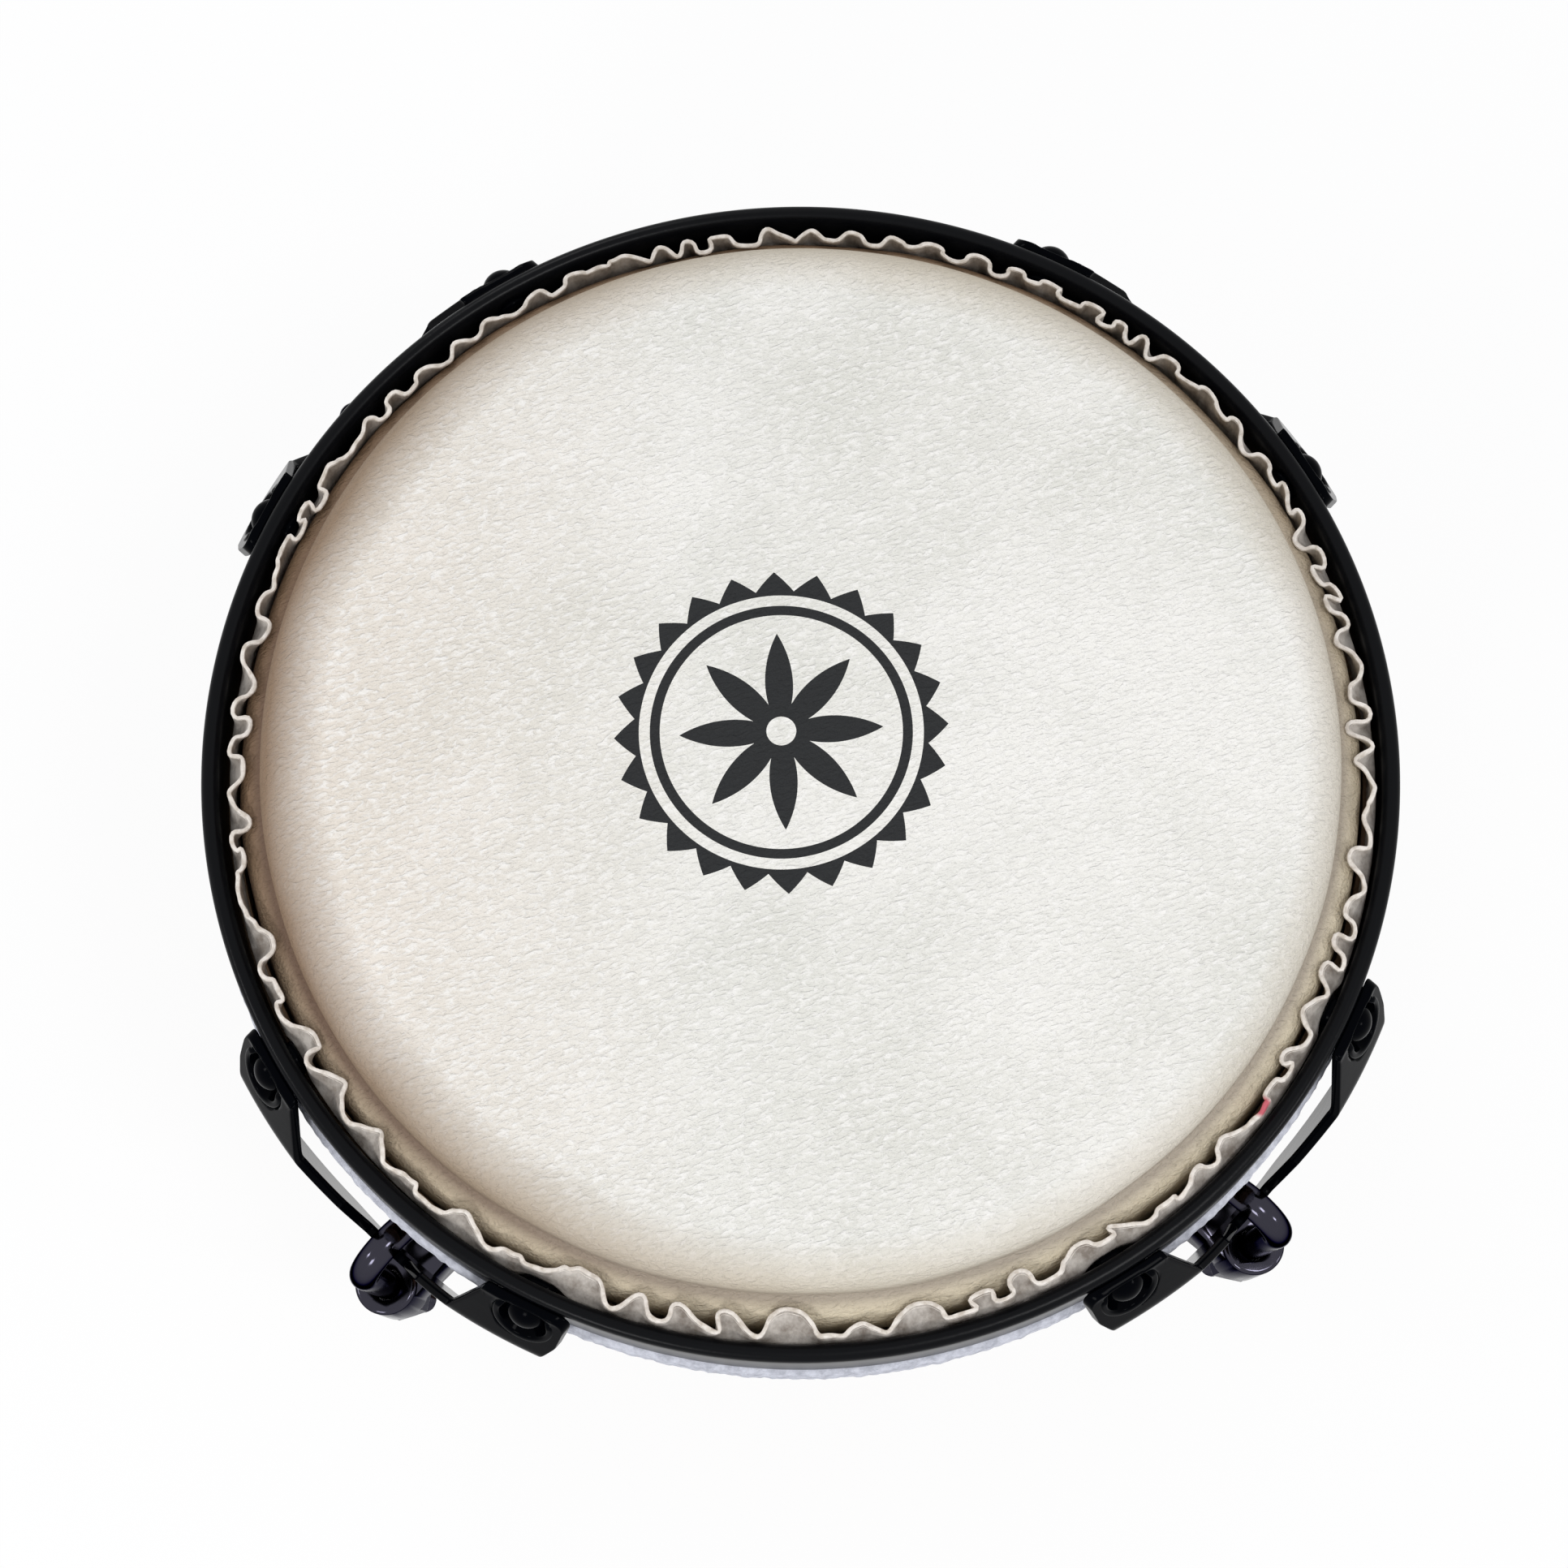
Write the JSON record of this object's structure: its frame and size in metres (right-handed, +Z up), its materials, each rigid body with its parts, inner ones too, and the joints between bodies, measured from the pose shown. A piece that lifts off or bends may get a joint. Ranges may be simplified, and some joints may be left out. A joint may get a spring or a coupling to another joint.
{
  "type": "bongo drum",
  "caption": "Bongo hand drum: tapered staved shell, lapped rawhide head, and a black steel counterhoop drawn down by chrome J-hook tuning rods.",
  "frame": {"origin": "centre of the shell's open bottom rim, on the surface that the drum stands on", "axes": "+Z up along the drum's axis to the head; the lugs lie at 45, 135, 225 and 315 degrees from +X, seen from above"},
  "size_m": [0.248, 0.248, 0.1665],
  "materials": {
    "wood": "satin lacquer over oak staves",
    "rawhide": "matt, faintly mottled",
    "black_steel": "satin black powder coat",
    "black_enamel": "gloss black",
    "chrome": "polished",
    "plain_steel": "zinc plated"
  },
  "bodies": {
    "shell": {"shell_staves": "wood", "drum_head": "rawhide", "cast_lug_1": "chrome", "lug_screws_1": "plain_steel", "lug_screw_washers_1": "plain_steel", "nut_washer_1": "chrome", "cast_lug_2": "chrome", "lug_screws_2": "plain_steel", "lug_screw_washers_2": "plain_steel", "nut_washer_2": "chrome", "cast_lug_3": "chrome", "lug_screws_3": "plain_steel", "lug_screw_washers_3": "plain_steel", "nut_washer_3": "chrome", "cast_lug_4": "chrome", "lug_screws_4": "plain_steel", "lug_screw_washers_4": "plain_steel", "nut_washer_4": "chrome"},
    "counterhoop": {"counterhoop": "black_steel", "flesh_hoop": "plain_steel", "head_tuck": "rawhide", "head_skirt": "rawhide", "lug_bracket_1": "black_enamel", "bracket_rivets_1": "black_enamel", "tuning_hook_1": "chrome", "lug_bracket_2": "black_enamel", "bracket_rivets_2": "black_enamel", "tuning_hook_2": "chrome", "lug_bracket_3": "black_enamel", "bracket_rivets_3": "black_enamel", "tuning_hook_3": "chrome", "lug_bracket_4": "black_enamel", "bracket_rivets_4": "black_enamel", "tuning_hook_4": "chrome"},
    "tuning_nut_1": {"tuning_nut_1": "chrome"},
    "tuning_nut_2": {"tuning_nut_2": "chrome"},
    "tuning_nut_3": {"tuning_nut_3": "chrome"},
    "tuning_nut_4": {"tuning_nut_4": "chrome"}
  },
  "joints": [
    {"name": "hoop_tension", "type": "slide", "parent": "shell", "child": "counterhoop", "axis": [0, 0, -1], "range_m": [-0.003, 0.003], "deforming": ["head_skirt"]},
    {"name": "tuning_nut_1_turn", "type": "hinge", "parent": "shell", "child": "tuning_nut_1", "pos_m": [0.09567, 0.09567, 0.10779], "axis": [0.0493, 0.0493, 0.9976], "range_deg": [-864, 864]},
    {"name": "tuning_nut_2_turn", "type": "hinge", "parent": "shell", "child": "tuning_nut_2", "pos_m": [-0.09567, 0.09567, 0.10779], "axis": [-0.0493, 0.0493, 0.9976], "range_deg": [-864, 864]},
    {"name": "tuning_nut_3_turn", "type": "hinge", "parent": "shell", "child": "tuning_nut_3", "pos_m": [-0.09567, -0.09567, 0.10779], "axis": [-0.0493, -0.0493, 0.9976], "range_deg": [-864, 864]},
    {"name": "tuning_nut_4_turn", "type": "hinge", "parent": "shell", "child": "tuning_nut_4", "pos_m": [0.09567, -0.09567, 0.10779], "axis": [0.0493, -0.0493, 0.9976], "range_deg": [-864, 864]}
  ],
  "couplings": [
    {"joint": "tuning_nut_1_turn", "follows": "hoop_tension", "rad_per_m": 4947.4},
    {"joint": "tuning_nut_2_turn", "follows": "hoop_tension", "rad_per_m": 4947.4},
    {"joint": "tuning_nut_3_turn", "follows": "hoop_tension", "rad_per_m": 4947.4},
    {"joint": "tuning_nut_4_turn", "follows": "hoop_tension", "rad_per_m": 4947.4}
  ]
}
